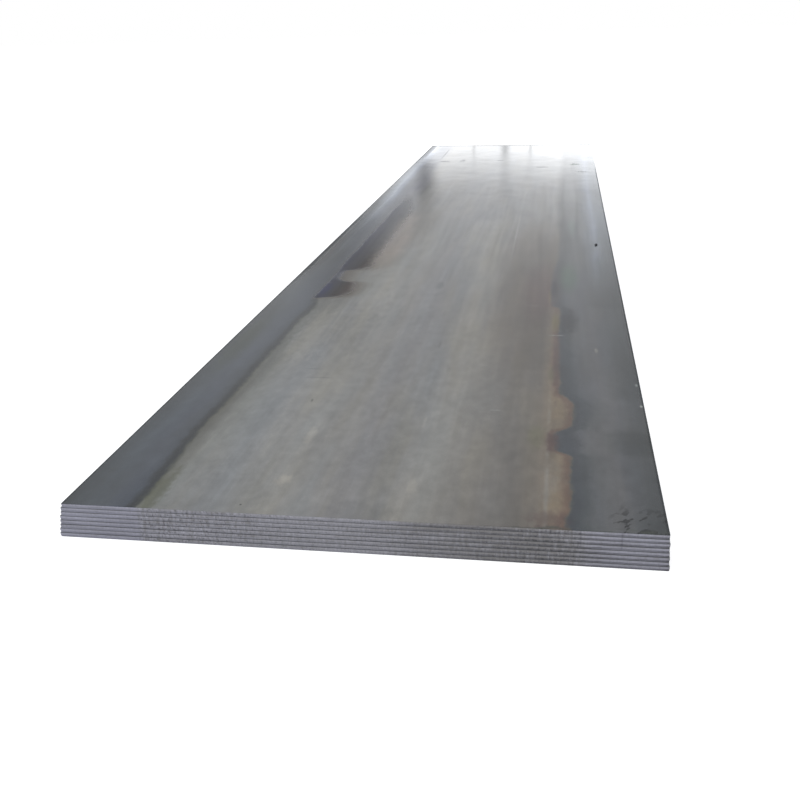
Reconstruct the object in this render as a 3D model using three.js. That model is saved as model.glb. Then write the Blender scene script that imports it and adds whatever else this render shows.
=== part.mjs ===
// A stack of eight hot rolled steel plates, each cropped to size on a guillotine shear and
// laid on the next with the small misfits of real handling.
//
// Millimetres, +Z up. X runs across the plates and Y along them. The origin is at floor
// level, under the middle of the stack.

import * as THREE from 'three';

// --- One plate: 3/8 in thick, 4 ft wide and 20 ft long -----------------------------------

const plateThickness = 9.525;
const plateWidth = 1219.2;
const plateLength = 6096;
const cornerRadius = 2.5; // plan corners, dulled by handling

// Section of the sheared edge, from the top face down: the rolled-over corner, the burnished
// land that the blade rubbed bright, and below it the torn slope, which leans in by the
// clearance between the blades.
const rollWidth = 0.9;
const rollDepth = 0.7;
const landDepth = 4.4;
const bladeClearance = 0.8;

const cornerSteps = 4; // facets of a plan corner, and of the rolled-over edge
const rollSteps = 3;

// --- How the plates lie, from the floor up -----------------------------------------------
//
// gap        what scale and slight waves keep between the plate and what it lies on
// overWidth  what the shear left over the ordered width, and overLength over the length
// across     shift of the plate's middle along X, and along that of its middle along Y
// turn       degrees that the plate lies askew

const lay = [
  { gap: 0.0, overWidth: 16, overLength: 6, across: -4.8, along: 2.7, turn: 0.01 },
  { gap: 0.1, overWidth: 14, overLength: 9, across: -4.2, along: 4.5, turn: -0.01 },
  { gap: 0.2, overWidth: 12, overLength: 4, across: -3.8, along: 1.9, turn: 0.01 },
  { gap: 0.4, overWidth: 10, overLength: 8, across: -3.2, along: 4.1, turn: 0.0 },
  { gap: 0.3, overWidth: 8, overLength: 3, across: -2.5, along: 1.4, turn: -0.01 },
  { gap: 0.1, overWidth: 6, overLength: 7, across: -1.8, along: 3.6, turn: 0.01 },
  { gap: 0.2, overWidth: 3, overLength: 5, across: -1.0, along: 2.4, turn: -0.01 },
  { gap: 0.1, overWidth: 0, overLength: 2, across: 0.0, along: 1.0, turn: 0.0 },
];

// --- The plate's solid -------------------------------------------------------------------

// The edge's section as points (inset from the outline, height), from the underside up.
function shearedEdge() {
  const landTop = plateThickness - rollDepth;
  const edge = new THREE.Path();
  edge.moveTo(bladeClearance, 0);
  edge.lineTo(0, landTop - landDepth);
  edge.lineTo(0, landTop);
  edge.absellipse(rollWidth, landTop, rollWidth, rollDepth, Math.PI, Math.PI / 2, true);
  return edge.getPoints(rollSteps);
}

// The plan outline with its rounded corners, pulled in by inset, anticlockwise from above.
function planOutline(width, length, inset) {
  const x = width / 2 - inset - cornerRadius;
  const y = length / 2 - inset - cornerRadius;
  const quarter = Math.PI / 2;
  const outline = new THREE.Path();
  [[x, y], [-x, y], [-x, -y], [x, -y]].forEach(([cx, cy], corner) => {
    outline.absarc(cx, cy, cornerRadius, corner * quarter, (corner + 1) * quarter, false);
  });
  return outline.getPoints(cornerSteps);
}

// One plate, resting on Z = 0 and centred on the origin: the sheared edge is carried round
// the plan outline, and the two flat faces close it.
function plateGeometry(width, length) {
  const rings = shearedEdge().map(({ x: inset, y: height }) =>
    planOutline(width, length, inset).map((p) => new THREE.Vector3(p.x, p.y, height)));
  const around = rings[0].length;
  const topRing = (rings.length - 1) * around;

  const faces = [];
  for (let ring = 0; ring < rings.length - 1; ring++) {
    for (let i = 0; i < around; i++) {
      const next = (i + 1) % around;
      const low = ring * around;
      const high = low + around;
      faces.push(low + i, low + next, high + next, low + i, high + next, high + i);
    }
  }
  for (let i = 1; i < around - 1; i++) {
    faces.push(0, i + 1, i);
    faces.push(topRing, topRing + i, topRing + i + 1);
  }

  const geometry = new THREE.BufferGeometry().setFromPoints(rings.flat());
  geometry.setIndex(faces);
  geometry.computeVertexNormals();
  return geometry;
}

// --- The stack ---------------------------------------------------------------------------

function hotRolledSteel() {
  return new THREE.MeshStandardMaterial({ color: 0x6f7174, roughness: 0.5, metalness: 0.7 });
}

const stack = new THREE.Group();
let restingOn = 0;
lay.forEach(({ gap, overWidth, overLength, across, along, turn }, index) => {
  const geometry = plateGeometry(plateWidth + overWidth, plateLength + overLength);
  const plate = new THREE.Mesh(geometry, hotRolledSteel());
  plate.name = `plate_${index + 1}`;
  plate.position.set(across, along, restingOn + gap);
  plate.rotation.z = THREE.MathUtils.degToRad(turn);
  stack.add(plate);
  restingOn += gap + plateThickness;
});

const extent = new THREE.Box3().setFromObject(stack, true);
const middle = extent.getCenter(new THREE.Vector3());
stack.position.set(-middle.x, -middle.y, 0);

export default stack;
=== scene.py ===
"""Looks for a stack of hot rolled steel plates: mill scale, sheared edges, studio and camera.

Everything is in metres in the row's own frame: X runs across the plates, Y along them from
the near end to the far end, and Z up from the floor.
"""

import logging
import math
from dataclasses import dataclass, field
from enum import Enum
from typing import Sequence

import bmesh
import bpy
from mathutils import Matrix, Vector, noise


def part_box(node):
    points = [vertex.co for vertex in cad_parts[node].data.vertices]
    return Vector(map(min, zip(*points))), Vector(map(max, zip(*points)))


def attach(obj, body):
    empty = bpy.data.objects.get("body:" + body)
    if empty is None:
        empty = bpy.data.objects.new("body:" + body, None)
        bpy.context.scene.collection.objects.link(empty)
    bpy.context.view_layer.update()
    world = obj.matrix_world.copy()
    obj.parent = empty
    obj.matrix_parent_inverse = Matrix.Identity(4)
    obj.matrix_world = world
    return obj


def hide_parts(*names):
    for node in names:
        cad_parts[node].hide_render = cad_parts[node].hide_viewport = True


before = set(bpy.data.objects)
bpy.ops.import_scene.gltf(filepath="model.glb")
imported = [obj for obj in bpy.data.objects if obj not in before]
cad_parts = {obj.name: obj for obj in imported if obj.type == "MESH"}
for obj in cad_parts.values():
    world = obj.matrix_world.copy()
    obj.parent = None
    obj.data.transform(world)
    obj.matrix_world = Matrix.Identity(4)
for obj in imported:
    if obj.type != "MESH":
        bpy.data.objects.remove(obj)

log = logging.getLogger("plate_stack")

Socket = bpy.types.NodeSocket
Value = float | Socket
Colour = tuple[float, float, float]
Point = tuple[float, float]
Span = tuple[float, float]
Stops = tuple[tuple[float, Colour], ...]

WHITE = (1.0, 1.0, 1.0)


def grey(red: float, green: float, blue: float) -> Colour:
    """Turns a display colour, 0 to 255 a channel, into the linear one that shaders take.

    Args:
        red: Red as seen on a screen.
        green: Green as seen on a screen.
        blue: Blue as seen on a screen.

    Returns:
        The linear colour.
    """
    def linear(channel: float) -> float:
        """Undoes the screen's curve for one channel."""
        share = channel / 255
        return share / 12.92 if share <= 0.04045 else ((share + 0.055) / 1.055) ** 2.4

    return linear(red), linear(green), linear(blue)


class NodeGraph:
    """Adds nodes to one node tree and wires them, one call a node.

    A fade's Span holds the value at which it is 0 and the value at which it is 1, so the larger
    one comes first where it falls.
    """

    def __init__(self, tree: bpy.types.NodeTree) -> None:
        """Starts an empty graph.

        Args:
            tree: The tree to clear and fill.
        """
        tree.nodes.clear()
        self.tree = tree

    def feed(self, socket: Socket, value: object) -> None:
        """Links an output to the socket, or sets its value where it is a constant.

        Args:
            socket: The input to feed.
            value: An output socket or a constant.
        """
        if isinstance(value, bpy.types.NodeSocket):
            self.tree.links.new(value, socket)
        else:
            socket.default_value = value

    def node(self, kind: str, inputs: dict | None = None, **settings: object) -> bpy.types.Node:
        """Adds one shader node.

        Args:
            kind: The node's type without its ShaderNode prefix.
            inputs: Values or output sockets by input name or number.
            settings: Properties of the node itself.

        Returns:
            The new node.
        """
        made = self.tree.nodes.new(f"ShaderNode{kind}")
        for name, value in settings.items():
            setattr(made, name, value)
        for key, value in (inputs or {}).items():
            self.feed(made.inputs[key], value)
        return made

    def math(self, operation: str, *values: Value, clamp: bool = False) -> Socket:
        """Applies one Math operation to values or sockets."""
        inputs = dict(enumerate(values))
        return self.node("Math", inputs, operation=operation, use_clamp=clamp).outputs[0]

    def product(self, *factors: Value) -> Socket:
        """Multiplies values or sockets with each other.

        Args:
            factors: Two or more values or output sockets.

        Returns:
            Their product.
        """
        result = factors[0]
        for factor in factors[1:]:
            result = self.math("MULTIPLY", result, factor)
        return result

    def add(self, base: Value, *terms: tuple[Value, Value]) -> Socket:
        """Adds patterns to a base, each in its own amount.

        Args:
            base: What they are added to.
            terms: One or more pairs of a pattern and its amount.

        Returns:
            The sum.
        """
        for pattern, amount in terms:
            base = self.math("MULTIPLY_ADD", pattern, amount, base)
        return base

    def smooth(self, value: Value, low: Value, high: Value) -> Socket:
        """Rises smoothly from 0 at low to 1 at high, and falls where low is the larger."""
        inputs = {"Value": value, "From Min": low, "From Max": high}
        return self.node("MapRange", inputs, interpolation_type="SMOOTHSTEP").outputs[0]

    def band(self, value: Value, centre: Value, half: Value) -> Socket:
        """Peaks at 1 on the centre and fades to 0 at half a width to either side."""
        away = self.math("ABSOLUTE", self.math("SUBTRACT", value, centre))
        return self.smooth(away, half, 0.0)

    def grain(self, place: Socket, density: Sequence[float], detail: float = 3.0) -> Socket:
        """Noise with its own number of features a metre along each axis.

        Args:
            place: The coordinates to read.
            density: Features a metre along X, Y and Z.
            detail: Octaves of finer noise.

        Returns:
            The noise, mostly between 0.3 and 0.7 about a middle of 0.5.
        """
        stretched = self.node("Mapping", {"Vector": place, "Scale": density}).outputs[0]
        inputs = {"Vector": stretched, "Scale": 1.0, "Detail": detail}
        return self.node("TexNoise", inputs).outputs[0]

    def centred(self, pattern: Socket) -> Socket:
        """Moves a grain's middle from 0.5 to 0."""
        return self.math("SUBTRACT", pattern, 0.5)

    def ramp(self, value: Value, stops: Sequence[tuple[float, Colour]]) -> Socket:
        """Reads a colour off a ramp.

        Args:
            value: Place on the ramp, from 0 to 1.
            stops: The ramp's colours, as (place, colour).

        Returns:
            The colour's output socket.
        """
        made = self.node("ValToRGB", {0: value})
        elements = made.color_ramp.elements
        elements.remove(elements[1])
        elements[0].position = stops[0][0]
        elements[0].color = (*stops[0][1], 1)
        for position, colour in stops[1:]:
            elements.new(position).color = (*colour, 1)
        return made.outputs[0]

    def by_distance(self, distance: Socket, stops: Stops) -> Socket:
        """Reads a colour off stops given in metres.

        Args:
            distance: The distance to read at.
            stops: The colours, as (distance, colour).

        Returns:
            The colour's output socket.
        """
        low, high = stops[0][0], stops[-1][0]
        inputs = {"Value": distance, "From Min": low, "From Max": high}
        share = self.node("MapRange", inputs).outputs[0]
        return self.ramp(share, [((x - low) / (high - low), colour) for x, colour in stops])

    def curve(self, value: Value, points: Sequence[Point]) -> Socket:
        """Reads a smooth curve.

        Args:
            value: Where to read it, from 0 to 1.
            points: The curve's points, as (input, output) between 0 and 1.

        Returns:
            The curve's output socket.
        """
        made = self.node("FloatCurve", {"Value": value})
        line = made.mapping.curves[0]
        line.points[0].location = points[0]
        line.points[1].location = points[-1]
        for x, y in points[1:-1]:
            line.points.new(x, y)
        for point in line.points:
            point.handle_type = "AUTO_CLAMPED"
        made.mapping.update()
        return made.outputs[0]

    def mix(self, factor: Value, first: object, second: object, blend: str = "MIX") -> Socket:
        """Mixes two colours.

        Args:
            factor: 0 for the first, 1 for the second.
            first: A colour or an output socket.
            second: A colour or an output socket.
            blend: How the second is laid over the first.

        Returns:
            The mixed colour.
        """
        made = self.node("Mix", data_type="RGBA", blend_type=blend)
        # A Mix node has sockets for numbers, vectors and colours. Its colours are 6, 7 and 2.
        factor_in, first_in, second_in = (made.inputs[place] for place in (0, 6, 7))
        for socket, value in ((factor_in, factor), (first_in, first), (second_in, second)):
            self.feed(socket, (*value, 1) if isinstance(value, tuple) else value)
        return made.outputs[2]

    def scaled(self, colour: Socket, factor: Value) -> Socket:
        """Brightens or darkens a colour by a factor."""
        inputs = {0: colour, "Scale": factor}
        return self.node("VectorMath", inputs, operation="SCALE").outputs[0]

    def bump(self, height: Socket, distance: float, strength: float) -> Socket:
        """Tilts the shading normal as a relief of that depth in metres would."""
        inputs = {"Height": height, "Distance": distance, "Strength": strength}
        return self.node("Bump", inputs).outputs[0]


@dataclass(frozen=True)
class Finish:
    """One surface finish of the steel, made as a procedural material.

    Attributes:
        name: The material's name.
        metallic: Share of bare metal's reflection.
    """

    name: str
    metallic: float = 0.7

    def material(self) -> bpy.types.Material:
        """Builds the material with this finish's own colour, roughness and relief.

        Returns:
            The new material.
        """
        made = bpy.data.materials.new(self.name)
        made.use_nodes = True
        graph = NodeGraph(made.node_tree)
        colour, roughness, normal = self.surface(graph, graph.node("TexCoord").outputs["Object"])
        shader = graph.node("BsdfPrincipled", {
            "Base Color": colour,
            "Roughness": roughness,
            "Normal": normal,
            "Metallic": self.metallic,
        })
        graph.node("OutputMaterial", {"Surface": shader.outputs[0]})
        return made

    def surface(self, graph: NodeGraph, place: Socket) -> tuple[Socket, Socket, Socket]:
        """Lays out colour, roughness and normal.

        Args:
            graph: The material's graph.
            place: Object coordinates in metres.

        Returns:
            Output sockets of the colour, the roughness and the normal.
        """
        raise NotImplementedError


@dataclass(frozen=True)
class MillScale(Finish):
    """Plain mill scale of a rolled face that other plates cover or the floor hides.

    Attributes:
        dark: Its darkest colour.
        light: Its lightest colour.
        tone_range: Lightness at which it is darkest and lightest.
    """

    name: str = "mill_scale"
    dark: Colour = grey(88, 91, 97)
    light: Colour = grey(120, 120, 120)
    tone_range: Span = (0.36, 0.62)

    def surface(self, graph: NodeGraph, place: Socket) -> tuple[Socket, Socket, Socket]:
        """Lays broad clouds with streaks along the rolling direction.

        Args:
            graph: The material's graph.
            place: Object coordinates in metres.

        Returns:
            Output sockets of the colour, the roughness and the normal.
        """
        clouds = graph.grain(place, (2.2, 0.8, 1.0))
        streaks = graph.grain(place, (40.0, 1.1, 1.0))
        pits = graph.grain(place, (260.0, 180.0, 260.0), 2.0)
        tone = graph.add(graph.product(clouds, 0.6), (streaks, 0.4))
        colour = graph.ramp(tone, list(zip(self.tone_range, (self.dark, self.light))))
        roughness = graph.add(0.3, (streaks, 0.2))
        return colour, roughness, graph.bump(pits, distance=0.00004, strength=0.5)


@dataclass(frozen=True)
class CutFace(Finish):
    """Shared make-up of the two parts of the sheared edge.

    Shares run across the plate from its left side to its right one.

    Attributes:
        dull: Its darkest colour.
        bright: Its lightest colour.
        speck: Colour of its dark specks.
        greyer: Colour that takes the lavender out of it.
        tones: How light the edge is, as (share, tone); the drop at the right end is painted shade
            of the rounded corners there.
        greyed: Where it is greyer, as (share, amount).
        scored: Where upright scores and specks gather, as (share, amount).
        slow_amount: How much slow noise changes its lightness.
        grain_amount: How much its fine pattern does.
        score_amount: How much upright scores do.
        speck_range: Noise at which specks begin and are full.
        speck_amount: How strongly they show where scores gather.
        seams: Where the shear's next stroke left an upright line, as distances from the middle.
        seam_half_width: Half of such a line's width.
        seam_foot: Height over the floor where those lines begin.
        seam_rise: Height over which they grow to full strength.
        seam_amount: How strongly they show.
        half_width: Half of the plate's width.
    """

    dull: Colour = (0.2, 0.2, 0.22)
    bright: Colour = (0.3, 0.3, 0.32)
    speck: Colour = grey(58, 58, 66)
    greyer: Colour = (1.0, 0.985, 0.87)
    tones: tuple[Point, ...] = ((0.0, 0.5), (1.0, 0.5))
    greyed: tuple[Point, ...] = (
        (0.0, 0.0), (0.14, 0.05), (0.152, 0.5), (0.45, 0.65), (0.84, 0.75), (0.89, 0.25),
        (1.0, 0.15),
    )
    scored: tuple[Point, ...] = (
        (0.0, 0.05), (0.14, 0.05), (0.15, 1.0), (0.3, 0.85), (0.42, 0.5), (0.6, 0.45),
        (0.74, 0.7), (0.845, 0.85), (0.885, 0.1), (1.0, 0.1),
    )
    slow_amount: float = 0.8
    grain_amount: float = 0.7
    score_amount: float = 1.5
    speck_range: Span = (0.54, 0.66)
    speck_amount: float = 0.7
    seams: tuple[float, ...] = (0.45, 0.527)
    seam_half_width: float = 0.003
    seam_foot: float = 0.038
    seam_rise: float = 0.006
    seam_amount: float = 0.45
    half_width: float = 0.617

    def face(
        self, graph: NodeGraph, place: Socket, grains: Socket, speck_share: float
    ) -> Socket:
        """Colours the cut face.

        Args:
            graph: The material's graph.
            place: Object coordinates in metres.
            grains: The fine pattern of the face.
            speck_share: How strongly specks show.

        Returns:
            The colour's output socket.
        """
        across, _, height = graph.node("SeparateXYZ", {0: place}).outputs
        share = graph.math("MULTIPLY_ADD", across, 0.5 / self.half_width, 0.5, clamp=True)
        scored = graph.curve(share, self.scored)
        slow = graph.centred(graph.grain(place, (9.0, 5.0, 60.0), 4.0))
        scores = graph.centred(graph.grain(place, (170.0, 170.0, 45.0), 4.0))
        tone = graph.add(
            graph.curve(share, self.tones), (slow, self.slow_amount),
            (graph.centred(grains), self.grain_amount),
            (graph.product(scores, self.score_amount), scored),
        )
        colour = graph.ramp(tone, [(0.0, self.dull), (1.0, self.bright)])
        colour = graph.mix(graph.curve(share, self.greyed), colour, self.greyer, "MULTIPLY")
        dots = graph.smooth(graph.grain(place, (230.0, 230.0, 180.0), 3.0), *self.speck_range)
        dots = graph.product(dots, scored, self.speck_amount)
        struck = graph.smooth(height, self.seam_foot, self.seam_foot + self.seam_rise)
        for seam in self.seams:
            line = graph.band(across, seam, self.seam_half_width)
            line = graph.product(line, struck, self.seam_amount)
            dots = graph.math("MAXIMUM", dots, line)
        return graph.mix(graph.product(dots, speck_share), colour, self.speck)


@dataclass(frozen=True)
class ShearedLand(CutFace):
    """The burnished band of the cut edge: bright, tinted lavender, scored by the blade."""

    name: str = "sheared_land"
    dull: Colour = grey(116, 115, 121)
    bright: Colour = grey(166, 167, 184)
    # The last step, dark at the right end, is painted shade of the plates' rounded corners.
    tones: tuple[Point, ...] = (
        (0.0, 0.42), (0.054, 0.46), (0.14, 0.47), (0.152, 0.37), (0.297, 0.36), (0.46, 0.4),
        (0.62, 0.2), (0.7, 0.08), (0.784, 0.03), (0.845, 0.1), (0.885, 0.41), (0.962, 0.4),
        (0.985, 0.4), (1.0, 0.2),
    )

    def surface(self, graph: NodeGraph, place: Socket) -> tuple[Socket, Socket, Socket]:
        """Lays upright score marks over slow changes of brightness along the edge.

        Args:
            graph: The material's graph.
            place: Object coordinates in metres.

        Returns:
            Output sockets of the colour, the roughness and the normal.
        """
        scores = graph.grain(place, (210.0, 210.0, 60.0), 4.0)
        colour = self.face(graph, place, scores, speck_share=0.7)
        roughness = graph.add(0.25, (scores, 0.3))
        return colour, roughness, graph.bump(scores, distance=0.0001, strength=0.4)


@dataclass(frozen=True)
class TornSteel(CutFace):
    """The torn lower part of the cut edge: matt and grainy, and darker, partly as a rough fracture
    is and partly as painted shade of the grooves between plates.
    """

    name: str = "torn_steel"
    metallic: float = 0.4
    # These dull colours partly paint the shade in the grooves between the plates.
    dull: Colour = grey(76, 76, 82)
    bright: Colour = grey(138, 139, 152)
    # The last step, dark at the right end, is painted shade of the plates' rounded corners.
    tones: tuple[Point, ...] = (
        (0.0, 0.86), (0.054, 0.9), (0.14, 0.88), (0.152, 0.86), (0.297, 0.95), (0.46, 0.95),
        (0.62, 0.54), (0.7, 0.42), (0.784, 0.3), (0.845, 0.28), (0.885, 0.36), (0.962, 0.5),
        (0.985, 0.4), (1.0, 0.0),
    )

    def surface(self, graph: NodeGraph, place: Socket) -> tuple[Socket, Socket, Socket]:
        """Lays coarse grain over slow changes of brightness along the edge.

        Args:
            graph: The material's graph.
            place: Object coordinates in metres.

        Returns:
            Output sockets of the colour, the roughness and the normal.
        """
        grains = graph.grain(place, (300.0, 300.0, 300.0), 4.0)
        colour = self.face(graph, place, grains, speck_share=0.9)
        roughness = graph.add(0.5, (grains, 0.3))
        return colour, roughness, graph.bump(grains, distance=0.0003, strength=0.6)


@dataclass(frozen=True)
class Face:
    """Where a point lies on the open face, as sockets of its material.

    Attributes:
        graph: The material's graph.
        place: Object coordinates in metres.
        width: The face's width.
        length: The face's length.
        across: Distance from the face's middle.
        metres: Distance from its near end.
        fray: Fine noise about 0.
        edge: Distance from the middle as the wandering borders see it.
    """

    graph: NodeGraph
    place: Socket
    width: float
    length: float
    across: Socket
    metres: Socket
    fray: Socket
    edge: Socket

    def fade(self, span: Span) -> Socket:
        """Fades over a span of distances from the near end."""
        return self.graph.smooth(self.metres, *span)

    def border(self, points: Sequence[Point]) -> Socket:
        """Follows a border that wanders along the face.

        Its curve runs over the square root of the distance, for finer steps at the near end.

        Args:
            points: The border's points as (along, across).

        Returns:
            The border's distance from the face's middle.
        """
        graph = self.graph
        along = graph.math("MULTIPLY", self.metres, 1 / self.length, clamp=True)
        shares = [
            (math.sqrt(min(y / self.length, 1.0)), x / self.width + 0.5) for y, x in points
        ]
        share = graph.curve(graph.math("SQRT", along), shares)
        return graph.product(graph.centred(share), self.width)


@dataclass(frozen=True)
class Middle:
    """The rubbed warm middle of the open face.

    Attributes:
        near: Its colours near the near end, by distance across.
        far: Its colours further along.
        turn: Where along the face the near colours turn into the far ones.
        drift: How far these colours drift to the sides.
        film: Colour of the thin brown film left of the right fringe.
        film_across: Distances across over which the film sets in.
        film_start: Where along the face it sets in.
        film_end: Where it fades out.
        film_share: How strongly it shows.
    """

    near: Stops = (
        (-0.45, grey(92, 92, 86)), (-0.40, grey(122, 122, 117)), (-0.32, grey(130, 131, 131)),
        (-0.18, grey(133, 132, 128)), (-0.05, grey(125, 124, 124)), (0.05, grey(122, 122, 121)),
        (0.10, grey(133, 131, 126)), (0.15, grey(129, 127, 122)), (0.24, grey(115, 112, 108)),
        (0.33, grey(102, 98, 93)), (0.42, grey(108, 100, 90)),
    )
    far: Stops = (
        (-0.45, grey(110, 107, 102)), (-0.32, grey(112, 110, 106)), (-0.2, grey(109, 108, 106)),
        (-0.12, grey(115, 115, 115)), (0.0, grey(127, 127, 127)), (0.15, grey(126, 126, 125)),
        (0.42, grey(120, 119, 117)),
    )
    turn: Span = (2.1, 3.4)
    drift: float = 0.14
    film: Colour = grey(88, 80, 71)
    film_across: Span = (0.12, 0.3)
    film_start: Span = (0.5, 1.4)
    film_end: Span = (3.4, 2.3)
    film_share: float = 0.85

    def colour(self, face: Face) -> Socket:
        """Colours the middle.

        Args:
            face: Where a point lies on the face.

        Returns:
            The colour's output socket.
        """
        graph = face.graph
        drift = graph.centred(graph.grain(face.place, (7.0, 0.8, 1.0)))
        across = graph.add(face.across, (drift, self.drift))
        near, far = (graph.by_distance(across, stops) for stops in (self.near, self.far))
        colour = graph.mix(face.fade(self.turn), near, far)
        film = graph.product(
            graph.smooth(across, *self.film_across), face.fade(self.film_start),
            face.fade(self.film_end), self.film_share,
        )
        return graph.mix(film, colour, self.film)


class Side(Enum):
    """The long side of the face that a strip lies along."""

    LEFT = "left"
    RIGHT = "right"


@dataclass(frozen=True)
class Strip:
    """A darker blue-grey strip along one side of the open face.

    Attributes:
        side: The side it lies along.
        border: Where it meets the middle, as (along, across).
        near: Its colours by distance inwards from that border, so less than 0 on the strip.
        far: Its colours towards the far end.
        turn: Where along the face the near colours turn into the far ones.
        brink: Distances from the border over which it gives way to the middle.
        soften: Where along the face the brink grows wider.
        softness: Share of its steepness that the brink loses there.
    """

    side: Side
    border: tuple[Point, ...]
    near: Stops
    far: Stops
    turn: Span
    brink: Span
    soften: Span = (1.5, 3.2)
    softness: float = 0.8

    def inwards(self, face: Face) -> Socket:
        """Distance inwards from the strip's border.

        Args:
            face: Where a point lies on the face.

        Returns:
            The distance's output socket.
        """
        border = face.border(self.border)
        if self.side is Side.LEFT:
            return face.graph.math("SUBTRACT", face.edge, border)
        return face.graph.math("SUBTRACT", border, face.edge)

    def lay(self, face: Face, colour: Socket, inwards: Socket) -> Socket:
        """Lays the strip along its side.

        Args:
            face: Where a point lies on the face.
            colour: The colour so far.
            inwards: Distance inwards from the strip's border.

        Returns:
            The colour's output socket.
        """
        graph = face.graph
        near, far = (graph.by_distance(inwards, stops) for stops in (self.near, self.far))
        strip = graph.mix(face.fade(self.turn), near, far)
        steepness = graph.add(1.0, (face.fade(self.soften), -self.softness))
        middle = graph.smooth(graph.product(inwards, steepness), *self.brink)
        return graph.mix(middle, strip, colour)


LEFT_STRIP = Strip(
    side=Side.LEFT,
    border=(
        (0.0, -0.448), (0.08, -0.445), (0.22, -0.451), (0.34, -0.459), (0.5, -0.457),
        (1.0, -0.449), (1.3, -0.454), (1.5, -0.438), (1.62, -0.454), (3.4, -0.452), (4.5, -0.47),
        (6.1, -0.48),
    ),
    near=(
        (-0.16, grey(57, 61, 63)), (-0.10, grey(68, 74, 80)), (-0.05, grey(68, 74, 84)),
        (-0.022, grey(58, 64, 73)), (-0.004, grey(55, 59, 60)), (0.008, grey(82, 84, 70)),
    ),
    far=(
        (-0.14, grey(66, 72, 78)), (-0.12, grey(114, 124, 136)), (-0.095, grey(152, 162, 177)),
        (-0.07, grey(103, 115, 136)), (-0.045, grey(52, 61, 79)), (-0.01, grey(44, 50, 68)),
    ),
    turn=(2.2, 4.4),
    brink=(0.0, 0.014),
)
RIGHT_STRIP = Strip(
    side=Side.RIGHT,
    border=(
        (0.0, 0.425), (0.045, 0.415), (0.07, 0.426), (0.33, 0.43), (0.37, 0.395), (0.46, 0.388),
        (0.5, 0.424), (0.64, 0.434), (0.74, 0.402), (1.2, 0.398), (1.45, 0.396), (1.52, 0.392),
        (1.56, 0.366), (1.95, 0.37), (2.2, 0.384), (2.5, 0.392), (3.6, 0.39), (6.1, 0.4),
    ),
    near=(
        (-0.22, grey(46, 50, 51)), (-0.16, grey(66, 69, 71)), (-0.125, grey(81, 83, 86)),
        (-0.10, grey(87, 88, 92)), (-0.05, grey(81, 84, 88)), (-0.03, grey(66, 71, 75)),
        (-0.008, grey(61, 65, 70)), (0.0, grey(76, 78, 74)),
    ),
    far=(
        (-0.21, grey(74, 82, 90)), (-0.175, grey(82, 91, 100)), (-0.15, grey(112, 121, 136)),
        (-0.12, grey(92, 99, 108)), (-0.09, grey(76, 79, 81)), (-0.055, grey(68, 70, 70)),
        (-0.025, grey(52, 54, 54)), (0.0, grey(66, 67, 67)),
    ),
    turn=(1.5, 2.9),
    brink=(-0.004, 0.006),
)


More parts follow.
